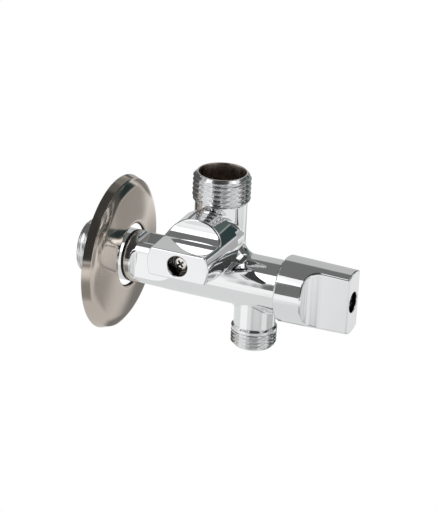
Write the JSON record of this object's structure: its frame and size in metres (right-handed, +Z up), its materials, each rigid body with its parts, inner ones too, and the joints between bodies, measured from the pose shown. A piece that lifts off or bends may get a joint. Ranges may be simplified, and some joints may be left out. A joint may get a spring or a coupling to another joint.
{
  "type": "three way valve",
  "caption": "Chromed wall-mounted three way valve: threaded inlet through a round rosette, upper and lower threaded outlets, each with its own quarter-turn handle.",
  "frame": {"origin": "on the inlet axis in the wall plane, where the rosette's rim meets the wall", "axes": "+X along the barrel away from the wall, +Z up along the upper outlet, front handle towards -Y"},
  "size_m": [0.1049, 0.0655, 0.068],
  "materials": {
    "chrome": "bright chrome plate on forged brass",
    "handle_chrome": "bright chrome plate on zinc die casting",
    "satin_nickel": "satin nickel plate on spun sheet",
    "screw_steel": "plain steel screw",
    "spring_steel": "blued spring steel",
    "brass": "turned brass",
    "ceramic": "lapped alumina ceramic",
    "rubber": "black nitrile rubber",
    "ptfe": "white PTFE"
  },
  "bodies": {
    "valve": {"valve_body": "chrome", "end_seat_ring": "rubber", "end_fixed_disc": "ceramic", "end_headwork_housing": "brass", "end_housing_o_ring": "rubber", "front_seat_ring": "rubber", "front_fixed_disc": "ceramic", "front_headwork_housing": "brass", "front_housing_o_ring": "rubber"},
    "end_handle_set": {"end_moving_disc": "ceramic", "end_spindle": "brass", "end_spindle_o_rings": "rubber", "end_glide_washer": "ptfe", "end_circlip": "spring_steel", "end_handle": "handle_chrome", "end_handle_screw": "screw_steel"},
    "front_handle_set": {"front_moving_disc": "ceramic", "front_spindle": "brass", "front_spindle_o_rings": "rubber", "front_glide_washer": "ptfe", "front_circlip": "spring_steel", "front_handle": "handle_chrome", "front_handle_screw": "screw_steel"},
    "rosette": {"wall_rosette": "satin_nickel"}
  },
  "joints": [
    {"name": "end_handle_turn", "type": "hinge", "parent": "valve", "child": "end_handle_set", "pos_m": [0.06717, 0, 0], "axis": [1, 0, 0], "range_deg": [-90, 0]},
    {"name": "front_handle_turn", "type": "hinge", "parent": "valve", "child": "front_handle_set", "pos_m": [0.0408, -0.0107, 0.0163], "axis": [0, -1, 0], "range_deg": [0, 90]},
    {"name": "rosette_slide", "type": "slide", "parent": "valve", "child": "rosette", "axis": [1, 0, 0], "range_m": [0, 0.02]}
  ]
}
